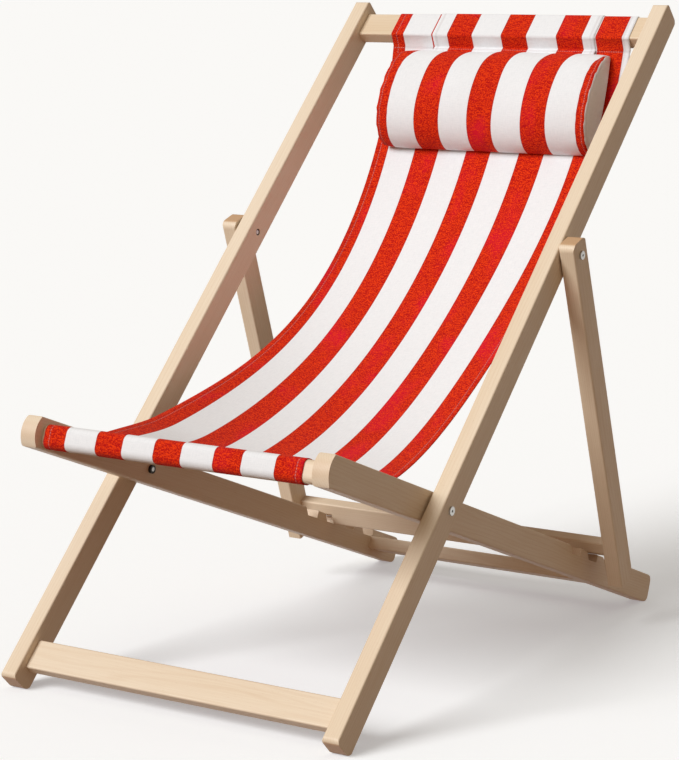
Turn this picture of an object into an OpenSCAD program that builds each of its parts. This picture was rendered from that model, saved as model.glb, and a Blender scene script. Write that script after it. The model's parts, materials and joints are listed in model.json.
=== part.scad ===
// Folding wooden deck chair with a striped sling and a bolster head pillow.
// Three nested frames: main frame, seat frame inside it, prop frame outside it.
// Millimetres, +Z up, the chair faces -Y, the origin is on the floor under the middle of the chair.

/* [Main frame] */
// Angle between the main rails and the floor
rail_angle = 45.2; // [42:0.1:48]
// Length of a main rail
rail_len = 1236; // [1200:1:1280]
// Thickness of a main rail across the chair
rail_t = 24; // [20:1:28]
// Depth of a main rail, front face to rear face
rail_d = 40; // [38:1:46]
// Width over the outer faces of the two main rails
main_w = 532; // [500:1:560]
// Distance from the foot end of a rail to the seat pivot
seat_pivot_s = 357; // [340:1:370]
// Distance from the foot end of a rail to the prop pivot
prop_pivot_s = 784; // [770:1:800]
// Distance from the foot end to the lower edge of the top bar
top_bar_s = 1179; // [1160:1:1182]
// Distance from the foot end to the lower edge of the foot board
foot_board_s = 23; // [20:1:40]
// Thickness of the foot board
foot_board_t = 16; // [12:1:20]

/* [Slats] */
// Width of the flat slats used as cross members
slat_w = 43; // [36:1:46]
// Thickness of those slats
slat_t = 20; // [16:1:22]

/* [Seat frame] */
// Thickness of a seat rail across the chair
seat_rail_t = 24; // [20:1:26]
// Depth of a seat rail, top edge to bottom edge
seat_rail_d = 42; // [38:1:44]
// Side gap between a main rail and a seat rail
seat_gap = 3.2; // [2.8:0.1:4]
// Distance from the seat pivot forwards to the front end
seat_front = 261; // [240:1:270]
// Distance from the seat pivot back to the rear end
seat_rear = 702; // [680:1:710]
// Height of the front bar that holds the sling
front_bar_h = 30; // [26:1:32]
// Front to rear size of the front bar
front_bar_d = 22; // [20:1:24]
// Depth of the notches in the rear of the seat rails
notch_depth = 12; // [8:1:14]
// Distance from one notch to the next
notch_pitch = 57; // [50:1:62]

/* [Prop frame] */
// Angle between a main rail and a prop strut
prop_open = 115.8; // [114:0.1:117]
// Thickness of a prop strut across the chair
strut_t = 23; // [20:1:25]
// Depth of a prop strut
strut_d = 38; // [34:1:40]
// Side gap between a main rail and a prop strut
strut_gap = 1.6; // [1.2:0.1:2]
// Distance from the prop pivot down to the lower end of a strut
strut_len = 520; // [510:1:530]
// Distance from the prop pivot to the top edge of the prop board
prop_board_u = 461.5; // [455:0.5:465]
// Height of the prop board between the seat rails
prop_board_h = 35; // [30:1:36]
// Thickness of the prop board
prop_board_t = 19; // [16:1:19]

/* [Hardware] */
// Radius of the pivot bolts' shanks
bolt_r = 3; // [2.5:0.5:4]
// Radius of the bolts' round heads
bolt_head_r = 6; // [5:0.5:7]
// Radius of the wooden dowels in the corner joints
dowel_r = 4; // [3:0.5:4.5]

/* [Fabric] */
// Width of the sling
sling_w = 402; // [380:1:410]
// Thickness of the sling's fabric
cloth_t = 1.2; // [1:0.1:1.6]
// Sideways offset of the sling
sling_x = 5; // [0:1:8]
// Length of the head pillow
pillow_l = 356; // [320:1:370]
// Height of the pillow along the sling
pillow_h = 154; // [146:1:156]
// Thickness of the pillow
pillow_t = 53; // [46:1:54]
// Width of the flap that holds the pillow to the top bar
flap_w = 272; // [240:1:300]

/* [Hidden] */
$fn = 48;

// Radii of the rounded corners and of the softened long edges
edge_r = 2.5;
foot_r = 14;
foot_front_r = 7;
head_r = 10;
seat_end_r = 11;
seat_nose_r = 30;
seat_nose_edge = 6;
strut_top_r = 10;
// Clearance between a pivot bolt and the part that turns on it, and beside that part
pivot_play = 0.06;
side_play = 0.2;
// How far the prop board's ends stay above the seat rails
prop_lift = 0.5;

// Faces across the chair, as distances from the middle
main_out = main_w / 2;
main_in = main_out - rail_t;
seat_out = main_in - seat_gap;
seat_in = seat_out - seat_rail_t;
strut_in = main_out + strut_gap;
strut_out = strut_in + strut_t;

// Height of the rails' foot end that puts the rounded heel on the floor
foot_z = foot_r * (1 - sin(rail_angle) - cos(rail_angle)) + rail_d / 2 * cos(rail_angle);
// Seat pivot, and the slope that puts the seat rails' rear ends on the floor
pivot_y = seat_pivot_s * cos(rail_angle);
pivot_z = seat_pivot_s * sin(rail_angle) + foot_z;
tail_u = seat_rear - seat_end_r;
tail_v = seat_rail_d / 2 - seat_end_r;
seat_angle = asin((pivot_z - seat_end_r) / norm([tail_u, tail_v])) - atan(tail_v / tail_u);
// The foremost point is on the main rails' feet, the rearmost on the seat rails' tails
front_y = foot_front_r * cos(rail_angle) - (rail_d / 2 - foot_front_r) * sin(rail_angle) - foot_front_r;
rear_y = pivot_y + tail_u * cos(seat_angle) + tail_v * sin(seat_angle) + seat_end_r;
mid_y = (front_y + rear_y) / 2;

// Slope of the struts below the horizontal
strut_angle = prop_open - rail_angle;

// Where the lower front edge of the prop board lies on the seat rails, and the notch it drops into
prop_y = (prop_pivot_s - seat_pivot_s) * cos(rail_angle);
prop_z = (prop_pivot_s - seat_pivot_s) * sin(rail_angle);
board_end = prop_board_u + prop_board_h;
board_y = prop_y + board_end * cos(strut_angle);
board_z = prop_z - board_end * sin(strut_angle);
board_u = board_y * cos(seat_angle) - board_z * sin(seat_angle);
board_v = board_y * sin(seat_angle) + board_z * cos(seat_angle);
notch_w = 27;
notch_u = board_u - 17;
notch_r = 3;
// Angle between a strut and a seat rail
strut_on_seat = strut_angle - seat_angle;
// The engaged notch is the second of four
NOTCHES = [-1, 0, 1, 2];

// Centre of the front bar, from the seat pivot
front_bar_u = -235;
front_bar_v = -2.5;
front_bar_r = 9;
rear_stretcher_u = 615;
board_side_gap = 2;
tenon_h = 25;
dowel_depth = 15;
dowel_play = 0.05;

// Parts of the frames are drawn in the frame's own coordinates: y along the rails, z out of the front face
module in_main() { translate([0, -mid_y, foot_z]) rotate([rail_angle, 0, 0]) children(); }
module in_seat() {
    in_main() translate([0, seat_pivot_s, 0]) rotate([-seat_angle - rail_angle, 0, 0]) children();
}
module in_prop() {
    in_main() translate([0, prop_pivot_s, 0]) rotate([-prop_open, 0, 0]) children();
}
// Left and right copies of what is drawn on the right
module both_sides() {
    children();
    mirror([1, 0, 0]) children();
}
module on_side(side) { if (side > 0) children(); else mirror([1, 0, 0]) children(); }

// A rectangle with a rounded corner of its own radius at each corner: [low-low, high-low, high-high, low-high]
module plate(x0, y0, x1, y1, r) {
    difference() {
        translate([x0, y0]) square([x1 - x0, y1 - y0]);
        corner(x0, y0, r[0], 0);
        corner(x1, y0, r[1], 90);
        corner(x1, y1, r[2], 180);
        corner(x0, y1, r[3], 270);
    }
}
// The waste outside one rounded corner
module corner(x, y, r, turn) {
    if (r > 0) translate([x, y]) rotate(turn) difference() {
        translate([-1, -1]) square(r + 1);
        translate([r, r]) circle(r);
    }
}
// A bar along X with a rounded rectangular section
module bar_x(x0, x1, y0, z0, y1, z1, r) {
    translate([x0, 0, 0]) rotate([90, 0, 90])
        linear_extrude(x1 - x0) plate(y0, z0, y1, z1, [r, r, r, r]);
}
// A side profile in the Y-Z plane given thickness along X
module side_plate(x0, x1) { translate([x0, 0, 0]) rotate([90, 0, 90]) linear_extrude(x1 - x0) children(); }
// A long bar along Y with softened edges, used to trim a side plate
module soft_bar_y(x0, x1, z0, z1, y0, y1) {
    translate([0, y1, 0]) rotate([90, 0, 0])
        linear_extrude(y1 - y0) plate(x0, z0, x1, z1, [edge_r, edge_r, edge_r, edge_r]);
}
module cross_hole(x0, x1, y, z, r) { translate([x0, y, z]) rotate([0, 90, 0]) cylinder(h = x1 - x0, r = r); }

// Dowel places of each cross member: [y, z] in the frame's coordinates
function slat_pair(y0, z) = [[y0 + slat_w * 0.26, z], [y0 + slat_w * 0.74, z]];
top_bar_z = -3;
foot_board_z = 1;
TOP_DOWELS = slat_pair(top_bar_s, top_bar_z);
FOOT_DOWELS = slat_pair(foot_board_s, foot_board_z);
REAR_DOWELS = slat_pair(rear_stretcher_u, 0);
FRONT_DOWELS = [[front_bar_u, front_bar_v + 7], [front_bar_u, front_bar_v - 7]];
board_mid_z = strut_d / 2 - prop_board_t / 2;
PROP_DOWELS = [[prop_board_u + tenon_h / 2, board_mid_z]];

module dowel_holes(places, face) {
    for (p = places) cross_hole(face - dowel_depth, face + dowel_depth, p[0], p[1], dowel_r);
}
module dowel_set(places, face) {
    for (p = places) both_sides()
        cross_hole(face - dowel_depth + 0.5, face + dowel_depth - 0.5, p[0], p[1], dowel_r - dowel_play);
}

// ---- Main frame
module main_rail(side) {
    color("burlywood") in_main() on_side(side) difference() {
        intersection() {
            side_plate(main_in, main_out)
                plate(0, -rail_d / 2, rail_len, rail_d / 2, [foot_r, head_r, head_r / 2, foot_front_r]);
            soft_bar_y(main_in, main_out, -rail_d / 2, rail_d / 2, -1, rail_len + 1);
        }
        cross_hole(main_in - 1, main_out + 1, seat_pivot_s, 0, bolt_r);
        cross_hole(main_in - 1, main_out + 1, prop_pivot_s, 0, bolt_r);
        cross_hole(main_in - 1, main_in + nut_len, prop_pivot_s, 0, nut_r);
        dowel_holes(TOP_DOWELS, main_in);
        dowel_holes(FOOT_DOWELS, main_in);
    }
}
module cross_slat(half, y0, z0, t, places) {
    difference() {
        bar_x(-half, half, y0, z0 - t / 2, y0 + slat_w, z0 + t / 2, edge_r);
        both_sides() dowel_holes(places, half);
    }
}
module top_bar() { color("burlywood") in_main() cross_slat(main_in, top_bar_s, top_bar_z, slat_t, TOP_DOWELS); }
module foot_board() {
    color("burlywood") in_main() cross_slat(main_in, foot_board_s, foot_board_z, foot_board_t, FOOT_DOWELS);
}
module main_frame_dowels() {
    color("tan") in_main() dowel_set(concat(TOP_DOWELS, FOOT_DOWELS), main_in);
}

// ---- Seat frame
// One notch: a front side that slopes like the prop board, a flat bottom and an upright rear side
module notch(u) {
    top = seat_rail_d / 2 + 1;
    bottom = seat_rail_d / 2 - notch_depth;
    lean = (top - bottom) / tan(strut_on_seat);
    translate([u, 0]) difference() {
        polygon([[-lean, top], [0, bottom], [notch_w, bottom], [notch_w, top]]);
        translate([notch_w, bottom]) corner(0, 0, notch_r, 90);
    }
}
module seat_rail_profile() {
    difference() {
        plate(-seat_front, -seat_rail_d / 2, seat_rear, seat_rail_d / 2,
              [seat_nose_edge, seat_end_r, seat_end_r, seat_nose_edge]);
        difference() {
            translate([-seat_front - 1, -seat_rail_d]) square([nose_depth + 1, 2 * seat_rail_d]);
            translate([seat_nose_r - seat_front, 0]) circle(seat_nose_r);
        }
        for (i = NOTCHES) notch(notch_u + i * notch_pitch);
    }
}
nose_depth = seat_nose_r - sqrt(pow(seat_nose_r, 2) - pow(seat_rail_d / 2, 2));
module seat_rail(side) {
    color("burlywood") in_seat() on_side(side) difference() {
        intersection() {
            side_plate(seat_in, seat_out) seat_rail_profile();
            soft_bar_y(seat_in, seat_out, -seat_rail_d / 2, seat_rail_d / 2, -seat_front - 1, seat_rear + 1);
        }
        cross_hole(seat_in - 1, seat_out + 1, 0, 0, bolt_r + pivot_play);
        dowel_holes(FRONT_DOWELS, seat_in);
        dowel_holes(REAR_DOWELS, seat_in);
    }
}
module front_bar() {
    color("burlywood") in_seat() difference() {
        bar_x(-seat_in, seat_in, front_bar_u - front_bar_d / 2, front_bar_v - front_bar_h / 2,
              front_bar_u + front_bar_d / 2, front_bar_v + front_bar_h / 2, front_bar_r);
        both_sides() dowel_holes(FRONT_DOWELS, seat_in);
    }
}
module rear_stretcher() {
    color("burlywood") in_seat() cross_slat(seat_in, rear_stretcher_u, 0, slat_t, REAR_DOWELS);
}
module seat_frame_dowels() {
    color("tan") in_seat() dowel_set(concat(FRONT_DOWELS, REAR_DOWELS), seat_in);
}

// ---- Prop frame
module prop_strut(side) {
    color("burlywood") in_prop() on_side(side) difference() {
        intersection() {
            side_plate(strut_in, strut_out)
                plate(-strut_d / 2 - 2, -strut_d / 2, strut_len, strut_d / 2, [strut_top_r, 0, 0, strut_top_r]);
            soft_bar_y(strut_in, strut_out, -strut_d / 2, strut_d / 2, -strut_d, strut_len + 1);
        }
        cross_hole(strut_in - 1, strut_out + 1, 0, 0, bolt_r + pivot_play);
        dowel_holes(PROP_DOWELS, strut_in);
    }
}
// The board drops between the seat rails; its ends are cut away just above the rails' top edges
module prop_board() {
    low = strut_d / 2 - prop_board_t;
    high = strut_d / 2;
    color("burlywood") in_prop() difference() {
        bar_x(-strut_in, strut_in, prop_board_u, low, board_end, high, edge_r);
        both_sides() {
            dowel_holes(PROP_DOWELS, strut_in);
            board_end_cut();
        }
    }
}
// The waste under a board end: everything lower than the seat rail's top edge
module board_end_cut() {
    x0 = seat_in - board_side_gap;
    rotate([prop_open, 0, 0]) translate([0, seat_pivot_s - prop_pivot_s, 0])
        rotate([-seat_angle - rail_angle, 0, 0])
            translate([x0, board_u - 80, seat_rail_d / 2 + prop_lift - 100])
                cube([strut_in - x0 + 1, 160, 100]);
}
module prop_frame_dowels() { color("tan") in_prop() dowel_set(PROP_DOWELS, strut_in); }

// ---- Pivot hardware
head_t = 2.4;
socket_r = 2;
nut_r = 5;
nut_len = 8;
washer_r = 10;
seat_nut_t = 4;
module pivot_bolt(head_x, end_x) {
    difference() {
        union() {
            cross_hole(end_x, head_x, 0, 0, bolt_r);
            cross_hole(head_x, head_x + head_t, 0, 0, bolt_head_r);
        }
        translate([head_x + 0.6, 0, 0]) rotate([0, 90, 0]) cylinder(h = head_t, r = socket_r, $fn = 6);
    }
}
module ring(x0, x1, r_out, r_in) {
    difference() {
        cross_hole(x0, x1, 0, 0, r_out);
        cross_hole(x0 - 1, x1 + 1, 0, 0, r_in);
    }
}
module at_seat_pivot() { in_main() both_sides() translate([0, seat_pivot_s, 0]) children(); }
module at_prop_pivot() { in_main() both_sides() translate([0, prop_pivot_s, 0]) children(); }
module seat_pivot_bolts() { color("silver") at_seat_pivot() pivot_bolt(main_out, seat_in - side_play - seat_nut_t); }
module seat_pivot_washers() {
    color("silver") at_seat_pivot() ring(seat_out + side_play, main_in, washer_r, bolt_r);
}
module seat_pivot_nuts() {
    color("silver") at_seat_pivot() ring(seat_in - side_play - seat_nut_t, seat_in - side_play, nut_r + 1, bolt_r);
}
module prop_pivot_bolts() { color("silver") at_prop_pivot() pivot_bolt(strut_out + side_play, main_in + 1); }
module prop_pivot_washers() {
    color("silver") at_prop_pivot() ring(main_out, strut_in - side_play, washer_r, bolt_r);
}
module prop_pivot_nuts() { color("silver") at_prop_pivot() ring(main_in + 1, main_in + nut_len, nut_r, bolt_r); }

// ---- Sling and pillow
// A point on a cubic curve between p and q with handle points a and b
function cubic(p, a, b, q, t) =
    pow(1 - t, 3) * p + 3 * pow(1 - t, 2) * t * a + 3 * (1 - t) * t * t * b + pow(t, 3) * q;
function ray(angle, length) = length * [cos(angle), sin(angle)];
function arc(centre, r, from, to, n) = [for (i = [0 : n]) centre + ray(from + (to - from) * i / n, r)];
// Points of the frames, [y, z] before the chair is centred
function main_point(p) =
    [p[0] * cos(rail_angle) - p[1] * sin(rail_angle), p[0] * sin(rail_angle) + p[1] * cos(rail_angle) + foot_z];
function seat_point(p) =
    [pivot_y + p[0] * cos(seat_angle) + p[1] * sin(seat_angle),
     pivot_z - p[0] * sin(seat_angle) + p[1] * cos(seat_angle)];
// The same line moved sideways by a distance, which gives the fabric its thickness
function side_step(line, i, d) =
    let (a = line[max(i - 1, 0)], b = line[min(i + 1, len(line) - 1)], n = (b - a) / norm(b - a))
        line[i] + d * [-n[1], n[0]];
function band(line, d) =
    concat(line, [for (i = [len(line) - 1 : -1 : 0]) side_step(line, i, d)]);

// Gap between a fabric loop and the bar inside it
loop_gap = 0.3;
hem_gap = 3;
// Each loop is a sewn pocket: the fabric goes once round its bar and ends beside the sling
front_back = front_bar_u + front_bar_d / 2;
front_fore = front_bar_u - front_bar_d / 2;
front_low = front_bar_v - front_bar_h / 2;
front_top = front_bar_v + front_bar_h / 2;
front_wrap_r = front_bar_r + loop_gap;
// Angle at which the sling leaves the front bar, below the seat rails' slope
front_leave = 56;
FRONT_POCKET = concat(
    [[front_back + loop_gap, front_top - front_bar_r - hem_gap]],
    arc([front_back - front_bar_r, front_low + front_bar_r], front_wrap_r, 0, -90, 5),
    arc([front_fore + front_bar_r, front_low + front_bar_r], front_wrap_r, -90, -180, 5),
    arc([front_fore + front_bar_r, front_top - front_bar_r], front_wrap_r, 180, 90, 5),
    arc([front_back - front_bar_r, front_top - front_bar_r], front_wrap_r, 90, front_leave, 2));
top_low = top_bar_z - slat_t / 2;
top_high = top_bar_z + slat_t / 2;
top_end = top_bar_s + slat_w;
// The fabric round the top bar, from the middle of its lower edge over the front face and back
function top_loop(gap) = concat(
    arc([top_bar_s + edge_r, top_high - edge_r], edge_r + gap, 180, 90, 3),
    arc([top_end - edge_r, top_high - edge_r], edge_r + gap, 90, 0, 3),
    arc([top_end - edge_r, top_low + edge_r], edge_r + gap, 0, -90, 3));
TOP_POCKET = concat(
    top_loop(loop_gap),
    arc([top_bar_s + edge_r, top_low + edge_r], edge_r + loop_gap, -90, -180, 3),
    [[top_bar_s - loop_gap, top_bar_z - hem_gap]]);
// The sling hangs between the two pockets, and is sewn to its own end just below the top bar
sling_front = seat_point(FRONT_POCKET[len(FRONT_POCKET) - 1]);
sling_join = main_point([top_bar_s - 6.5, top_low + 3]);
join_angle = 80;
SLING_CURVE = [for (i = [1 : 36])
    cubic(sling_front, sling_front + ray(front_leave - 90 - seat_angle, 220),
          sling_join - ray(join_angle, 406), sling_join, i / 36)];
SLING_LINE = concat(
    [for (p = FRONT_POCKET) seat_point(p)], SLING_CURVE, [for (p = TOP_POCKET) main_point(p)]);
module sling() {
    color("orangered") translate([0, -mid_y, 0])
        side_plate(sling_x - sling_w / 2, sling_x + sling_w / 2) polygon(band(SLING_LINE, cloth_t));
}
// The pillow's middle and the lean of its section against the main rails
pillow_s = 1093;
pillow_c = -43;
pillow_lean = 24;
// The section is nearly flat towards the sling, full in front and fullest below its middle
pillow_back = 7;
pillow_droop = 0.2;
pillow_x = 13;
pillow_sides = 40;
// The flap runs from the pillow's upper edge over the top bar, outside the sling's pocket
flap_x = 25;
flap_hem = 8;
flap_play = 1;
flap_gap = 2 * loop_gap + cloth_t;
PILLOW_TOP = [pillow_s, pillow_c] + ray(pillow_lean, pillow_h / 2 + flap_play);
FLAP_LINE = concat([PILLOW_TOP], top_loop(flap_gap), [[top_bar_s + flap_hem, top_low - flap_gap]]);
module pillow_flap() {
    color("white") in_main() side_plate(flap_x - flap_w / 2, flap_x + flap_w / 2)
        polygon(band(FLAP_LINE, cloth_t));
}
function pillow_outline(wall) = [for (i = [0 : pillow_sides - 1])
    let (turn = 360 * i / pillow_sides,
         deep = turn < 180 ? (pillow_t - pillow_back - wall) * (1 - pillow_droop * cos(turn)) : pillow_back - wall)
    [(pillow_h / 2 - wall) * cos(turn), deep * sin(turn)]];
module in_pillow() { in_main() translate([0, pillow_s, pillow_c]) rotate([pillow_lean, 0, 0]) children(); }
module pillow_shell(wall) {
    side_plate(pillow_x - pillow_l / 2 + wall, pillow_x + pillow_l / 2 - wall)
        polygon(pillow_outline(wall));
}
module pillow_cover() {
    color("orangered") in_pillow() difference() {
        pillow_shell(0);
        pillow_shell(cloth_t);
    }
}
module pillow_filling() { color("white") in_pillow() pillow_shell(cloth_t + 0.1); }

main_rail_left();
main_rail_right();
top_bar();
foot_board();
main_frame_dowels();
seat_rail_left();
seat_rail_right();
front_bar();
rear_stretcher();
seat_frame_dowels();
prop_strut_left();
prop_strut_right();
prop_board();
prop_frame_dowels();
seat_pivot_bolts();
seat_pivot_washers();
seat_pivot_nuts();
prop_pivot_bolts();
prop_pivot_washers();
prop_pivot_nuts();
sling();
pillow_flap();
pillow_cover();
pillow_filling();

module main_rail_left() { main_rail(-1); }
module main_rail_right() { main_rail(1); }
module seat_rail_left() { seat_rail(-1); }
module seat_rail_right() { seat_rail(1); }
module prop_strut_left() { prop_strut(-1); }
module prop_strut_right() { prop_strut(1); }
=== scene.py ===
"""Looks of a folding wooden deck chair: oiled beech frames, a striped sling and a bolster pillow."""
import json
import math

import bpy
import numpy as np
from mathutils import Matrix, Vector


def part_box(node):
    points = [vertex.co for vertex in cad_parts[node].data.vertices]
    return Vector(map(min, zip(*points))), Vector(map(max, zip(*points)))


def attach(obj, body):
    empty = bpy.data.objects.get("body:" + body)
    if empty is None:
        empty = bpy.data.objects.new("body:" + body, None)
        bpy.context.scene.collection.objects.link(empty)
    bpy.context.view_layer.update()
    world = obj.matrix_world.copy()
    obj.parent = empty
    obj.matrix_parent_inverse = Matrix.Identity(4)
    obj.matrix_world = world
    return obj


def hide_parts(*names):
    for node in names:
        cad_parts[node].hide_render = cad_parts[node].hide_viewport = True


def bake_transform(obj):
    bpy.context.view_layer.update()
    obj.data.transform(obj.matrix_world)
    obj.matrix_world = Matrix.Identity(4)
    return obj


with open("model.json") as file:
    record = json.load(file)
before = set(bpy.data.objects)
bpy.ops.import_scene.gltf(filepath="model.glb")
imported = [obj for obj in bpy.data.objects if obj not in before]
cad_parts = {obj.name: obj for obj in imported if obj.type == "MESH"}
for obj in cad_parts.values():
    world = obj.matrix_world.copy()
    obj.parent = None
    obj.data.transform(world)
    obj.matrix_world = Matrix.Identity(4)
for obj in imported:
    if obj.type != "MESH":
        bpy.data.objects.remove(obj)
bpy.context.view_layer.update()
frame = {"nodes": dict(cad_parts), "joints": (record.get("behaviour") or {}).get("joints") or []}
scene = bpy.context.scene
nodes = frame["nodes"]

# ---- The frames of the chair in the Y-Z plane, in metres --------------------------------------------
PIVOTS = {j["name"]: np.array(j["pos_m"][1:]) for j in frame["joints"]}
SEAT_PIVOT = PIVOTS["seat_fold"]
PROP_PIVOT = PIVOTS["prop_swing"]
SEAT_PIVOT_S = 0.357


def unit(v):
    return v / np.linalg.norm(v)


def left(v):
    """The direction a quarter turn anticlockwise from v, with +Y to the right and +Z up."""
    return np.array([-v[1], v[0]])


def ray(degrees, length=1.0):
    return length * np.array([math.cos(math.radians(degrees)), math.sin(math.radians(degrees))])


def centre(node):
    low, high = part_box(node)
    return np.array([(low.y + high.y) / 2, (low.z + high.z) / 2])


MAIN_ALONG = unit(PROP_PIVOT - SEAT_PIVOT)
SEAT_ALONG = unit(centre("rear_stretcher") - SEAT_PIVOT)
PROP_ALONG = unit(centre("prop_strut_right") - PROP_PIVOT)


def main_point(p):
    """A point of the main frame: p[0] up the rails from their feet, p[1] out of their front faces."""
    return SEAT_PIVOT + MAIN_ALONG * (p[0] - SEAT_PIVOT_S) + left(MAIN_ALONG) * p[1]


def seat_point(p):
    """A point of the seat frame: p[0] rearwards from the pivot, p[1] out of the upper edges."""
    return SEAT_PIVOT + SEAT_ALONG * p[0] + left(SEAT_ALONG) * p[1]


# ---- Camera and light -------------------------------------------------------------------------------
def add_camera():
    """The view from the chair's front right, a little above the seat."""
    data = bpy.data.cameras.new("photo_camera")
    data.sensor_fit = "HORIZONTAL"
    data.sensor_width = 36.0
    data.lens = 126.53
    data.shift_x, data.shift_y = 0.0039, 0.0810
    camera = bpy.data.objects.new("photo_camera", data)
    camera.location = (1.7574, -2.7893, 0.9169)
    camera.rotation_euler = [math.radians(a) for a in (79.425, -0.320, 32.808)]
    scene.collection.objects.link(camera)
    scene.camera = camera


def add_sun(name, azimuth, elevation, strength, angle, colour):
    """A sun in degrees of azimuth, 0 at the chair's front and positive to its +X side, and of elevation."""
    data = bpy.data.lights.new(name, "SUN")
    data.energy = strength
    data.angle = math.radians(angle)
    data.color = colour
    sun = bpy.data.objects.new(name, data)
    a, e = math.radians(azimuth), math.radians(elevation)
    towards = Vector((math.sin(a) * math.cos(e), -math.cos(a) * math.cos(e), math.sin(e)))
    sun.rotation_euler = towards.to_track_quat("Z", "Y").to_euler()
    scene.collection.objects.link(sun)


def add_world(above, below, backdrop):
    """Even light of one colour from above the horizon, and of the brown that wood throws back from below.

    Where the floor ends, the pale backdrop is seen instead."""
    world = bpy.data.worlds.new("studio")
    world.use_nodes = True
    tree = world.node_tree

    def node(kind, **settings):
        new = tree.nodes.new(kind)
        for key, value in settings.items():
            setattr(new, key, value)
        return new

    split = node("ShaderNodeSeparateXYZ")
    tree.links.new(node("ShaderNodeTexCoord").outputs["Generated"], split.inputs[0])
    height = node("ShaderNodeMapRange", interpolation_type="SMOOTHSTEP")
    height.inputs["From Min"].default_value = -0.25
    height.inputs["From Max"].default_value = 0.25
    tree.links.new(split.outputs[2], height.inputs["Value"])
    light = node("ShaderNodeMix", data_type="RGBA")
    light.inputs[6].default_value = below
    light.inputs[7].default_value = above
    tree.links.new(height.outputs["Result"], light.inputs[0])
    shown = node("ShaderNodeMix", data_type="RGBA")
    shown.inputs[7].default_value = backdrop
    tree.links.new(node("ShaderNodeLightPath").outputs["Is Camera Ray"], shown.inputs[0])
    tree.links.new(light.outputs[2], shown.inputs[6])
    tree.links.new(shown.outputs[2], tree.nodes["Background"].inputs["Color"])
    scene.world = world


# ---- Node helpers -----------------------------------------------------------------------------------
class Graph:
    """A short way to write a material's nodes."""

    def __init__(self, name):
        self.material = bpy.data.materials.new(name)
        self.material.use_nodes = True
        self.tree = self.material.node_tree
        self.bsdf = self.tree.nodes["Principled BSDF"]

    def add(self, kind, inputs=None, **settings):
        node = self.tree.nodes.new(kind)
        for key, value in settings.items():
            setattr(node, key, value)
        for key, value in (inputs or {}).items():
            self.put(node.inputs[key], value)
        return node

    def put(self, socket, value):
        if isinstance(value, bpy.types.NodeSocket):
            self.tree.links.new(value, socket)
        else:
            socket.default_value = value

    def shade(self, inputs):
        """Sets the shader's sockets and gives the material back."""
        for key, value in inputs.items():
            self.put(self.bsdf.inputs[key], value)
        return self.material

    def math(self, operation, a, b=0.0):
        return self.add("ShaderNodeMath", {0: a, 1: b}, operation=operation).outputs[0]

    def plus(self, a, b):
        return self.math("ADD", a, b)

    def minus(self, a, b):
        return self.math("SUBTRACT", a, b)

    def times(self, a, b):
        return self.math("MULTIPLY", a, b)

    def distance(self, a, b):
        return self.math("ABSOLUTE", self.minus(a, b))

    def wave(self, value, period, operation="SINE"):
        return self.math(operation, self.times(value, 2 * math.pi / period))

    def uv_map(self, name):
        place = self.add("ShaderNodeUVMap", uv_map=name).outputs[0]
        return self.add("ShaderNodeSeparateXYZ", {0: place}).outputs[:2]

    def combine(self, x, y, z):
        return self.add("ShaderNodeCombineXYZ", {0: x, 1: y, 2: z}).outputs[0]

    def spread(self, parts, scales, last=0.0):
        """A place whose parts are each scaled by their own number. Where two are given, last is the third."""
        scaled = [self.times(part, scale) for part, scale in zip(parts, scales)]
        return self.combine(*scaled, *[last] * (3 - len(scaled)))

    def noise(self, vector, scale, detail=2.0, roughness=0.5, distortion=0.0):
        node = self.add("ShaderNodeTexNoise", {
            "Vector": vector, "Scale": scale, "Detail": detail,
            "Roughness": roughness, "Distortion": distortion})
        return node.outputs["Fac"]

    def mix(self, factor, a, b):
        node = self.add("ShaderNodeMix", {0: factor, 6: a, 7: b}, data_type="RGBA")
        return node.outputs[2]

    def ramp(self, factor, low, high):
        """Maps low..high of a value to 0..1 with smooth ends."""
        node = self.add("ShaderNodeMapRange", {"Value": factor, "From Min": low, "From Max": high},
                        interpolation_type="SMOOTHSTEP")
        return node.outputs["Result"]

    def bump(self, height, strength, distance):
        inputs = {"Height": height, "Strength": strength, "Distance": distance}
        return self.add("ShaderNodeBump", inputs).outputs["Normal"]


def rgba(r, g, b):
    return (r, g, b, 1.0)


# ---- Wood -------------------------------------------------------------------------------------------
PALE = rgba(0.81, 0.695, 0.55)
WARM = rgba(0.73, 0.585, 0.415)
RING = rgba(0.56, 0.36, 0.20)
FLECK = rgba(0.44, 0.25, 0.12)
END = rgba(0.50, 0.27, 0.12)


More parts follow.
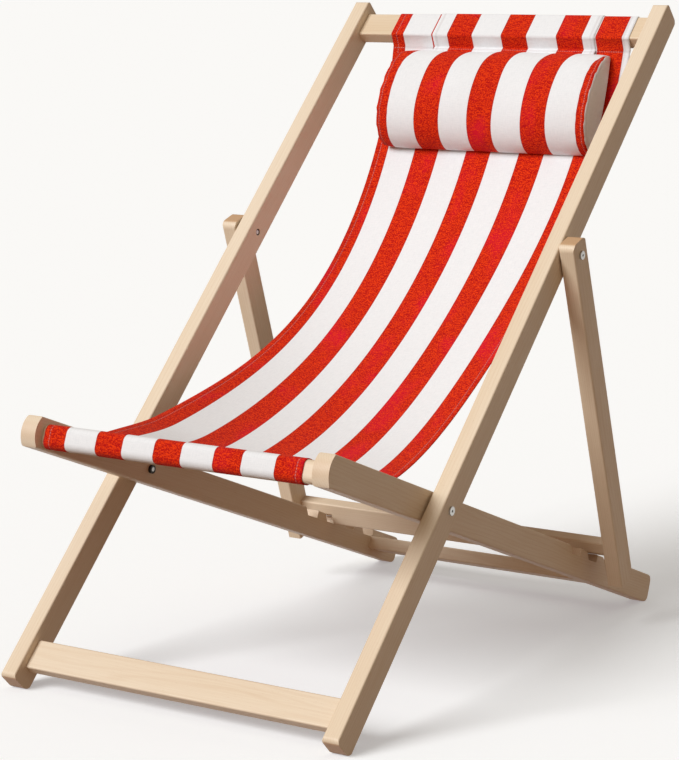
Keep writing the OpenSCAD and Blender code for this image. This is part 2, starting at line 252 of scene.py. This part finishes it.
def wood(name, along, seed, tone, ends):
    """Oiled beech whose grain runs along a direction in the Y-Z plane, or along X where along is None.

    A higher tone is warmer, and ends is how dark its cut ends are."""
    g = Graph(name)
    turn = (0.0, 0.0, math.pi / 2) if along is None else (-math.atan2(along[1], along[0]), 0.0, 0.0)
    turned = g.add("ShaderNodeMapping", {
        "Vector": g.add("ShaderNodeTexCoord").outputs["Object"], "Rotation": turn,
        "Location": (seed * 1.37, seed * 2.11, seed * 0.73)}).outputs[0]
    axes = g.add("ShaderNodeSeparateXYZ", {0: turned}).outputs
    across, depth = axes[0], axes[2]
    drift = g.noise(g.spread(axes, (9.0, 1.1, 9.0)), 1.0, 3.0)
    # growth rings round a pith that lies beside the plank and wanders along it
    ring_x = g.plus(across, g.times(drift, 0.05))
    ring_z = g.plus(depth, 0.04 + 0.013 * (seed % 3))
    radius = g.math("SQRT", g.plus(g.times(ring_x, ring_x), g.times(ring_z, ring_z)))
    rings = g.ramp(g.math("SINE", g.times(radius, 2200.0)), 0.1, 1.0)
    fibre = g.noise(g.spread(axes, (700.0, 16.0, 700.0)), 1.0, 3.0, 0.6)
    flecks = g.ramp(g.noise(g.spread(axes, (1300.0, 260.0, 1300.0)), 1.0, 1.0), 0.66, 0.80)
    streak = g.ramp(fibre, 0.3, 0.75)
    base = g.mix(g.ramp(drift, 0.25 - 0.2 * tone, 1.0 - 0.3 * tone), PALE, WARM)
    base = g.mix(g.times(g.times(rings, drift), 0.24), base, RING)
    base = g.mix(g.times(flecks, 0.28), base, FLECK)
    base = g.mix(g.times(streak, 0.16), base, RING)
    # cut ends are darker and more open
    end_way = (1, 0, 0) if along is None else (0, along[0], along[1])
    facing = g.add("ShaderNodeVectorMath", {0: g.add("ShaderNodeTexCoord").outputs["Normal"], 1: end_way},
                   operation="DOT_PRODUCT").outputs["Value"]
    end_grain = g.ramp(g.math("ABSOLUTE", facing), 0.85, 0.99)
    return g.shade({
        "Base Color": g.mix(g.times(end_grain, ends), base, END),
        "Roughness": g.plus(0.40, g.times(streak, 0.14)),
        "Specular IOR Level": 0.45,
        "Normal": g.bump(g.plus(fibre, g.times(flecks, -0.6)), 0.25, 0.0003)})


# ---- Metal ------------------------------------------------------------------------------------------
def steel(name, light, deep):
    """Plated steel, clouded between two colours and finely scratched."""
    g = Graph(name)
    place = g.add("ShaderNodeTexCoord").outputs["Object"]
    cloud = g.noise(place, 300.0, 3.0)
    drawn = g.add("ShaderNodeMapping", {"Vector": place, "Scale": (200.0, 2400.0, 2400.0)}).outputs[0]
    return g.shade({
        "Base Color": g.mix(cloud, light, deep),
        "Metallic": 1.0,
        "Roughness": g.plus(0.22, g.times(cloud, 0.25)),
        "Normal": g.bump(g.noise(drawn, 1.0), 0.2, 0.0001)})


# ---- Cloth ------------------------------------------------------------------------------------------
CLOTH = 0.0009
WHITE_W, RED_W = 0.0495, 0.0429
REPEAT = WHITE_W + RED_W
YARN = 0.0009
STITCH = 0.0038
ORANGE_RED = rgba(0.80, 0.045, 0.002)
SCARLET = rgba(0.43, 0.002, 0.002)
CRIMSON = rgba(0.66, 0.001, 0.026)
DARK_EDGE = rgba(0.20, 0.008, 0.004)
WHITE = rgba(0.86, 0.875, 0.90)
GREY_WHITE = rgba(0.78, 0.80, 0.83)
# painted light: the pillow's plain end caps get a whiter white than the stripes, standing in for light
# falling on them
CAP_PAINTED_LIGHT_WHITE = rgba(0.93, 0.95, 0.97)
# painted shade: a dark red-brown laid beside the stitched rows for the crease the thread pulls in
STITCH_CREASE_PAINTED_SHADE = rgba(0.22, 0.05, 0.04)
CLOTH_UV = "cloth"
HEM_UV = "hem"


def striped_colour(g, u, v, white):
    """White and heathered red stripes whose edges waver by a yarn or so."""
    waver = g.minus(g.noise(g.combine(0.0, g.times(v, 700.0), 0.0), 1.0, 1.0), 0.5)
    from_middle = g.minus(g.plus(u, g.times(waver, 0.0008)), WHITE_W / 2)
    white_share = g.minus(g.wave(from_middle, REPEAT, "COSINE"), math.cos(math.pi * WHITE_W / REPEAT))
    red_mask = g.ramp(white_share, 0.025, -0.025)
    dots = g.noise(g.spread((u, v), (480.0, 480.0)), 1.0, 3.0, 0.65)
    flow = g.noise(g.spread((u, v), (150.0, 330.0), 7.0), 1.0, 3.0, 0.6, 1.2)
    patches = g.noise(g.spread((u, v), (14.0, 9.0)), 1.0, 2.0)
    heather = g.plus(g.times(dots, 0.62), g.times(flow, 0.38))
    red = g.mix(g.ramp(heather, 0.44, 0.57), SCARLET, ORANGE_RED)
    red = g.mix(g.times(g.ramp(patches, 0.50, 0.72), g.ramp(heather, 0.62, 0.44)), red, CRIMSON)
    rim = g.times(g.ramp(g.distance(white_share, -0.055), 0.05, 0.0), red_mask)
    red = g.mix(g.times(rim, 0.6), red, DARK_EDGE)
    return g.mix(red_mask, white, red)


def canvas(name, hem, rows=(), striped=True):
    """Plain-woven canvas with a stitched row at hem from its sides, and one across it at each of rows.

    The UV map CLOTH_UV holds metres, U across the stripes from a red one's edge and V along them. The map
    HEM_UV holds the distance from the nearest side and the distance along it."""
    g = Graph(name)
    u, v = g.uv_map(CLOTH_UV)
    weave = g.times(g.wave(u, YARN), g.wave(v, YARN))
    warp = g.noise(g.spread((u, v), (900.0, 90.0)), 1.0, 3.0, 0.6)
    weft = g.noise(g.spread((u, v), (90.0, 900.0), 3.0), 1.0, 3.0, 0.6)
    yarns = g.plus(g.times(warp, 0.5), g.times(weft, 0.5))
    # the plain end caps take the whiter white, which is painted light
    pale, shaded = (WHITE, GREY_WHITE) if striped else (CAP_PAINTED_LIGHT_WHITE, WHITE)
    colour = g.mix(g.ramp(yarns, 0.35, 0.7), pale, shaded)
    if striped:
        colour = striped_colour(g, u, v, colour)
    height = g.plus(g.times(weave, 0.5), yarns)
    # dashes of thread along the stitched rows, which pull the cloth in; beside each row the colour is
    # darkened with painted shade for the crease
    from_side, side_v = g.uv_map(HEM_UV)
    for across, along, place in [(from_side, side_v, hem)] + [(v, u, row) for row in rows]:
        near = g.distance(across, place)
        stitch = g.times(g.ramp(near, 0.0007, 0.0003), g.ramp(g.wave(along, STITCH), -0.5, -0.2))
        pull_and_painted_shade = g.ramp(near, 0.0032, 0.0002)
        # painted shade darkens the cloth in the crease beside each stitched row, while the same mask sinks
        # the bump
        colour = g.mix(g.times(pull_and_painted_shade, 0.15), colour, STITCH_CREASE_PAINTED_SHADE)
        colour = g.mix(g.times(stitch, 0.22), colour, WHITE)
        height = g.minus(g.plus(height, g.times(stitch, 1.5)), g.times(pull_and_painted_shade, 2.0))
    return g.shade({
        "Base Color": colour,
        "Roughness": g.plus(0.78, g.times(yarns, 0.15)),
        "Specular IOR Level": 0.12,
        "Sheen Weight": 0.03,
        "Sheen Roughness": 0.5,
        "Normal": g.bump(height, 0.45, 0.00035)})


# ---- Mesh helpers -----------------------------------------------------------------------------------
def new_mesh(name, points, faces, uvs=None, hems=None):
    """points is a list of places, and uvs and hems give one (u, v) for each point."""
    mesh = bpy.data.meshes.new(name)
    mesh.from_pydata([tuple(p) for p in points], [], faces)
    for map_name, places in ((CLOTH_UV, uvs), (HEM_UV, hems)):
        if places is not None:
            layer = mesh.uv_layers.new(name=map_name)
            for loop in mesh.loops:
                layer.data[loop.index].uv = places[loop.vertex_index]
    for polygon in mesh.polygons:
        polygon.use_smooth = True
    obj = bpy.data.objects.new(name, mesh)
    scene.collection.objects.link(obj)
    return obj


def grid_faces(rows, columns):
    return [(r * columns + c, r * columns + c + 1, (r + 1) * columns + c + 1, (r + 1) * columns + c)
            for r in range(rows - 1) for c in range(columns - 1)]


def thicken(obj):
    """Gives a sheet the cloth's thickness, half on either side."""
    thick = obj.modifiers.new("thickness", "SOLIDIFY")
    thick.thickness = CLOTH
    thick.offset = 0.0
    bpy.context.view_layer.update()
    evaluated = obj.evaluated_get(bpy.context.evaluated_depsgraph_get())
    mesh = bpy.data.meshes.new_from_object(evaluated)
    obj.modifiers.clear()
    obj.data = mesh


def arc(middle, radius, start, end, steps):
    """Points on an arc round a middle, between two angles in degrees."""
    return [np.array(middle) + ray(start + (end - start) * i / steps, radius) for i in range(steps + 1)]


def cubic(p, a, b, q, steps):
    """Points after p up to q on the cubic curve with the handle points a and b."""
    return [(1 - t) ** 3 * p + 3 * (1 - t) ** 2 * t * a + 3 * (1 - t) * t * t * b + t ** 3 * q
            for t in (i / steps for i in range(1, steps + 1))]


def lengths(line):
    """The distance along a line of points at each of its points."""
    steps = np.linalg.norm(np.diff(np.array(line), axis=0), axis=1)
    return np.concatenate([[0.0], np.cumsum(steps)])


def normals(line):
    """At each point of a line, the direction a quarter turn to its left."""
    tangents = np.gradient(np.array(line), axis=0)
    tangents /= np.linalg.norm(tangents, axis=1)[:, None]
    return np.column_stack([-tangents[:, 1], tangents[:, 0]])


# ---- Sling ------------------------------------------------------------------------------------------
FRONT_BAR_U, FRONT_BAR_V = -0.235, -0.0025
FRONT_BAR_D, FRONT_BAR_H, FRONT_BAR_R = 0.022, 0.030, 0.009
TOP_BAR_S, TOP_BAR_W, TOP_BAR_T, TOP_BAR_C = 1.179, 0.043, 0.020, -0.003
TOP_LOW, TOP_HIGH = TOP_BAR_C - TOP_BAR_T / 2, TOP_BAR_C + TOP_BAR_T / 2
EDGE_R = 0.0025
SNUG = 0.6 * CLOTH
# the free part is one cubic curve: its directions in degrees and its handles, from the front bar to the join
FRONT_LEAVE, FRONT_HANDLE = 56, 0.220
JOIN = np.array([TOP_BAR_S - 0.0065, TOP_LOW + 0.003])
JOIN_ANGLE, JOIN_HANDLE = 80, 0.406
FREE_STEPS = 220
# x of the sling's edges and of the first red stripe's inner edge, at the front bar and at the top bar
LEFT_EDGE = (-0.2103, -0.1822)
RIGHT_EDGE = (0.1925, 0.2200)
FIRST_EDGE = (-0.1750, -0.1608)
HALF_WIDTH = 0.2
NECKING = 0.05
SLING_COLUMNS = 101
SLING_HEM, POCKET_ROW, JOIN_ROW = 0.009, 0.006, 0.002
# how far the front bar pulls the cloth behind it up, and the share of the length that this reaches
FRONT_LIFT, LIFT_REACH = 0.007, 0.22


def front_pocket(gap):
    """Once round the front bar, from behind it, under it and over it, up to where the sling leaves."""
    back, fore = FRONT_BAR_U + FRONT_BAR_D / 2, FRONT_BAR_U - FRONT_BAR_D / 2
    low, top, r = FRONT_BAR_V - FRONT_BAR_H / 2, FRONT_BAR_V + FRONT_BAR_H / 2, FRONT_BAR_R
    local = ([np.array([back + gap, top - r - 0.002])]
             + arc((back - r, low + r), r + gap, 0, -90, 8)
             + arc((fore + r, low + r), r + gap, -90, -180, 8)
             + arc((fore + r, top - r), r + gap, 180, 90, 8)
             + arc((back - r, top - r), r + gap, 90, FRONT_LEAVE, 4))
    return [seat_point(p) for p in local]


def top_loop(gap):
    """Over the top bar: its lower edge, front face, upper edge and rear face, in the main frame."""
    end, r = TOP_BAR_S + TOP_BAR_W, EDGE_R
    return (arc((TOP_BAR_S + r, TOP_HIGH - r), r + gap, 180, 90, 5)
            + arc((end - r, TOP_HIGH - r), r + gap, 90, 0, 5)
            + arc((end - r, TOP_LOW + r), r + gap, 0, -90, 5))


def sling_line():
    """The sling's underside from pocket to pocket, the distance along it, and the share of its free part."""
    front = front_pocket(SNUG)
    under = arc((TOP_BAR_S + EDGE_R, TOP_LOW + EDGE_R), EDGE_R + SNUG, -90, -165, 4)
    top = [main_point(p) for p in top_loop(SNUG) + under]
    start, end = front[-1], main_point(JOIN)
    leave = FRONT_LEAVE - 90 + math.degrees(math.atan2(SEAT_ALONG[1], SEAT_ALONG[0]))
    free = cubic(start, start + ray(leave, FRONT_HANDLE), end - ray(JOIN_ANGLE, JOIN_HANDLE), end, FREE_STEPS)
    line = front + free + top
    along = lengths(line)
    first, last = len(front) - 1, len(front) + len(free) - 1
    share = np.clip((along - along[first]) / (along[last] - along[first]), 0, 1)
    return np.array(line), along, share


def hang(share, x):
    """How far the cloth hangs out of its line: hems tighter than the middle, and the left one tightest."""
    side = x / HALF_WIDTH
    one, two, three = (math.sin(k * math.pi * share) for k in (1, 2, 3))
    ripple = 0.0006 * math.sin(23 * x + 5 * share) + 0.0005 * math.sin(11 * x - 9 * share + 1)
    lift = FRONT_LIFT * math.sin(math.pi * min(share / LIFT_REACH, 1)) ** 2
    hems = side ** 2 * (0.014 * one + 0.010 * two) - side * (0.014 * two + 0.008 * three)
    return hems + one * ripple + lift


def make_sling():
    line, along, share = sling_line()
    out = normals(line)
    points, uvs, hems = [], [], []
    for i, p in enumerate(line):
        t = share[i]
        low, zero = (a + (b - a) * t for a, b in (LEFT_EDGE, FIRST_EDGE))
        high = RIGHT_EDGE[0] + (RIGHT_EDGE[1] - RIGHT_EDGE[0]) * t * t
        middle, neck = (low + high) / 2, 1 - NECKING * math.sin(math.pi * t)
        for x in np.linspace(low, high, SLING_COLUMNS):
            shown = middle + (x - middle) * neck
            q = p + out[i] * (CLOTH / 2 + hang(t, shown))
            points.append((shown, q[0], q[1]))
            uvs.append((x - zero, along[i]))
            hems.append((min(x - low, high - x), along[i]))
    sling = new_mesh("sling_canvas", points, grid_faces(len(line), SLING_COLUMNS), uvs, hems)
    thicken(sling)
    leaves, joins = along[share > 0][0], along[share < 1][-1]
    rows = (leaves + POCKET_ROW, joins + JOIN_ROW, along[-1] - POCKET_ROW)
    sling.data.materials.append(canvas("striped_canvas", SLING_HEM, rows))
    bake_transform(sling)
    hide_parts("sling")


# ---- Pillow -----------------------------------------------------------------------------------------
PILLOW_LEFT, PILLOW_LENGTH = -0.160, 0.350
PILLOW_HALF_H, PILLOW_FRONT, PILLOW_BACK, PILLOW_DROOP = 0.077, 0.0455, 0.007, 0.2
PILLOW_LEAN = 24.0
PILLOW_MIDDLE = np.array([1.093, -0.043])
# the x of a red stripe's edge, the repeat, and how far the stripes are pulled aside at the top
PILLOW_WHITE_EDGE = -0.1410
PILLOW_REPEAT = 0.0898
TOP_SKEW = 0.016
PILLOW_ROWS, PILLOW_SIDES, CAP_RINGS = 72, 64, 8
PINCH, PINCH_REACH = 0.035, 0.012
CAP_BULGE, CAP_HEM, PILLOW_HEM = 0.004, 0.004, 0.005


def pillow_outline(turn):
    """A point on the pillow's section: full in front and lower down, nearly flat towards the sling."""
    a, b = math.cos(turn), math.sin(turn)
    deep = PILLOW_FRONT * (1 - PILLOW_DROOP * a) if b > 0 else PILLOW_BACK
    local = (PILLOW_HALF_H * a, deep * b)
    lean = math.radians(PILLOW_LEAN)
    return PILLOW_MIDDLE + np.array([local[0] * math.cos(lean) - local[1] * math.sin(lean),
                                     local[0] * math.sin(lean) + local[1] * math.cos(lean)])


def pucker(x, turn):
    """How far the cover stands out: gathers that fade away from the sewn ends, and slack further in."""
    ends = min(x - PILLOW_LEFT, PILLOW_LEFT + PILLOW_LENGTH - x)
    gathers = math.sin(17 * turn + 40 * x) + 0.6 * math.sin(29 * turn + 1.3)
    slack = math.sin(31 * x + 2 * turn) + 0.7 * math.sin(53 * x - 3 * turn + 0.8)
    return 0.0011 * gathers * math.exp(-ends / 0.016) + 0.0011 * slack * (1 - math.exp(-ends / 0.03))


def pillow_ring(x, swell, loose=1.0):
    """One ring of the cover at x, drawn in towards the middle by swell below 1."""
    ring = []
    for k in range(PILLOW_SIDES):
        turn = 2 * math.pi * k / PILLOW_SIDES
        reach = pillow_outline(turn) - PILLOW_MIDDLE
        p = PILLOW_MIDDLE + reach * swell
        if turn <= math.pi:
            p = p + unit(reach) * pucker(x, turn) * loose * math.sin(turn) ** 0.5
        q = main_point(p)
        ring.append((x, q[0], q[1]))
    return ring


def make_pillow():
    points, uvs, hems, faces = [], [], [], []
    girth = lengths([pillow_outline(2 * math.pi * k / PILLOW_SIDES) for k in range(PILLOW_SIDES + 1)])
    for i in range(PILLOW_ROWS + 1):
        t = i / PILLOW_ROWS
        x = PILLOW_LEFT + PILLOW_LENGTH * t
        ends = min(t, 1 - t) * PILLOW_LENGTH
        points += pillow_ring(x, 1.0 - PINCH * math.exp(-ends / PINCH_REACH))
        for k in range(PILLOW_SIDES):
            pulled = TOP_SKEW * max(math.cos(2 * math.pi * k / PILLOW_SIDES), 0.0) ** 6
            uvs.append(((x - PILLOW_WHITE_EDGE - pulled) * REPEAT / PILLOW_REPEAT, girth[k]))
            hems.append((ends, girth[k]))
    for i in range(PILLOW_ROWS):
        for k in range(PILLOW_SIDES):
            a, b = i * PILLOW_SIDES + k, i * PILLOW_SIDES + (k + 1) % PILLOW_SIDES
            faces.append((a, b, b + PILLOW_SIDES, a + PILLOW_SIDES))
    side_faces = len(faces)
    middle = main_point(PILLOW_MIDDLE)
    right = PILLOW_LEFT + PILLOW_LENGTH
    for end, x, bulge in ((0, PILLOW_LEFT, -CAP_BULGE), (PILLOW_ROWS, right, CAP_BULGE)):
        outer = end * PILLOW_SIDES
        for r in range(1, CAP_RINGS + 1):
            share = 1 - r / (CAP_RINGS + 0.35)
            start = len(points)
            points += pillow_ring(x + bulge * (1 - share ** 2), (1 - PINCH) * share, share ** 4)
            uvs += [(q[1], q[2]) for q in points[start:]]
            hems += [((1 - share) * PILLOW_FRONT, girth[k]) for k in range(PILLOW_SIDES)]
            for k in range(PILLOW_SIDES):
                j = (k + 1) % PILLOW_SIDES
                quad = (outer + k, outer + j, start + j, start + k)
                faces.append(quad if end else quad[::-1])
            outer = start
        points.append((x + bulge, middle[0], middle[1]))
        uvs.append((middle[0], middle[1]))
        hems.append((PILLOW_FRONT, 0.0))
        for k in range(PILLOW_SIDES):
            tri = (outer + k, outer + (k + 1) % PILLOW_SIDES, len(points) - 1)
            faces.append(tri if end else tri[::-1])
    pillow = new_mesh("head_pillow_cover", points, faces, uvs, hems)
    pillow.data.materials.append(canvas("pillow_canvas", PILLOW_HEM))
    pillow.data.materials.append(canvas("pillow_end_canvas", CAP_HEM, striped=False))
    for polygon in pillow.data.polygons:
        polygon.material_index = 0 if polygon.index < side_faces else 1
    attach(pillow, "head_pillow")
    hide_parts("pillow_cover", "pillow_filling")


# ---- Flap -------------------------------------------------------------------------------------------
FLAP_LEFT = -0.1085
FLAP_WIDTH = 0.2730
FLAP_WHITE_EDGE = -0.1325
FLAP_COLUMNS = 69
FLAP_HEM = 0.006


def make_flap():
    """From the pillow's upper edge into the valley under the top bar, and over the bar, outside the sling."""
    gap = 1.7 * CLOTH
    tip = pillow_outline(0.0)
    neck = tip + np.array([-0.003, 0.002])
    valley = np.array([TOP_BAR_S - 0.0075, TOP_LOW + 0.0025])
    face = np.array([TOP_BAR_S - gap, TOP_HIGH - EDGE_R])
    dip = [neck + (valley - neck) * k / 4 for k in range(4)]
    rise = [valley + (face - valley) * k / 6 for k in range(6)]
    local = dip + rise + top_loop(gap) + [np.array([TOP_BAR_S + 0.008, TOP_LOW - gap])]
    line = np.array([main_point(p) for p in local])
    along = lengths(line)
    out = normals(line)
    points, uvs, hems = [], [], []
    for i, p in enumerate(line):
        q = p + out[i] * CLOTH / 2
        for x in np.linspace(FLAP_LEFT, FLAP_LEFT + FLAP_WIDTH, FLAP_COLUMNS):
            points.append((x, q[0], q[1]))
            uvs.append((x - FLAP_WHITE_EDGE, along[i]))
            hems.append((min(x - FLAP_LEFT, FLAP_LEFT + FLAP_WIDTH - x), along[i]))
    flap = new_mesh("pillow_flap_canvas", points, grid_faces(len(line), FLAP_COLUMNS), uvs, hems)
    thicken(flap)
    flap.data.materials.append(canvas("flap_canvas", FLAP_HEM, (FLAP_HEM, along[-1] - FLAP_HEM)))
    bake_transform(flap)
    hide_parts("pillow_flap")


# ---- Wooden and metal nodes -------------------------------------------------------------------------
def paint(node, material):
    mesh = nodes[node].data
    mesh.materials.clear()
    mesh.materials.append(material)


def paint_frames():
    along = {"main": MAIN_ALONG, "seat": SEAT_ALONG, "prop": PROP_ALONG}
    members = {
        "main_rail_left": "main", "main_rail_right": "main",
        "seat_rail_left": "seat", "seat_rail_right": "seat",
        "prop_strut_left": "prop", "prop_strut_right": "prop", "top_bar": None, "foot_board": None,
        "front_bar": None, "rear_stretcher": None, "prop_board": None,
        "main_frame_dowels": None, "seat_frame_dowels": None, "prop_frame_dowels": None}
    for seed, (node, way) in enumerate(members.items()):
        ends = 0.25 if way == "seat" else 0.75
        tone = 1.3 if node == "top_bar" else (0.35, 0.6, 0.5)[seed % 3]
        paint(node, wood("wood_" + node, along.get(way), seed, tone, ends))
    bright = steel("zinc_steel", rgba(0.62, 0.62, 0.60), rgba(0.46, 0.45, 0.43))
    dark = steel("black_steel", rgba(0.06, 0.055, 0.05), rgba(0.03, 0.028, 0.026))
    for place in ("seat", "prop"):
        paint(f"{place}_pivot_bolts", bright)
        paint(f"{place}_pivot_washers", bright)
        paint(f"{place}_pivot_nuts", dark)


def add_floor():
    """A wide pale floor that takes shadows but throws no light back onto the chair."""
    side = 400.0
    corners = [(-side, -side, 0), (side, -side, 0), (side, side, 0), (-side, side, 0)]
    floor = new_mesh("studio_floor", corners, [(0, 1, 2, 3)])
    floor.data.materials.append(Graph("pale_floor").shade({
        "Base Color": rgba(0.86, 0.86, 0.86),
        "Roughness": 0.9,
        "Specular IOR Level": 0.0,
        "Emission Color": rgba(0.80, 0.91, 1.0),
        "Emission Strength": 0.30}))
    floor.visible_diffuse = False


scene.view_settings.view_transform = "Standard"
add_camera()
add_world(above=rgba(0.36, 0.30, 0.235), below=rgba(0.19, 0.09, 0.04), backdrop=rgba(0.90, 0.89, 0.88))
add_sun("key", azimuth=-22, elevation=34, strength=2.75, angle=30, colour=(0.97, 0.985, 1.0))
add_floor()
paint_frames()
make_sling()
make_pillow()
make_flap()
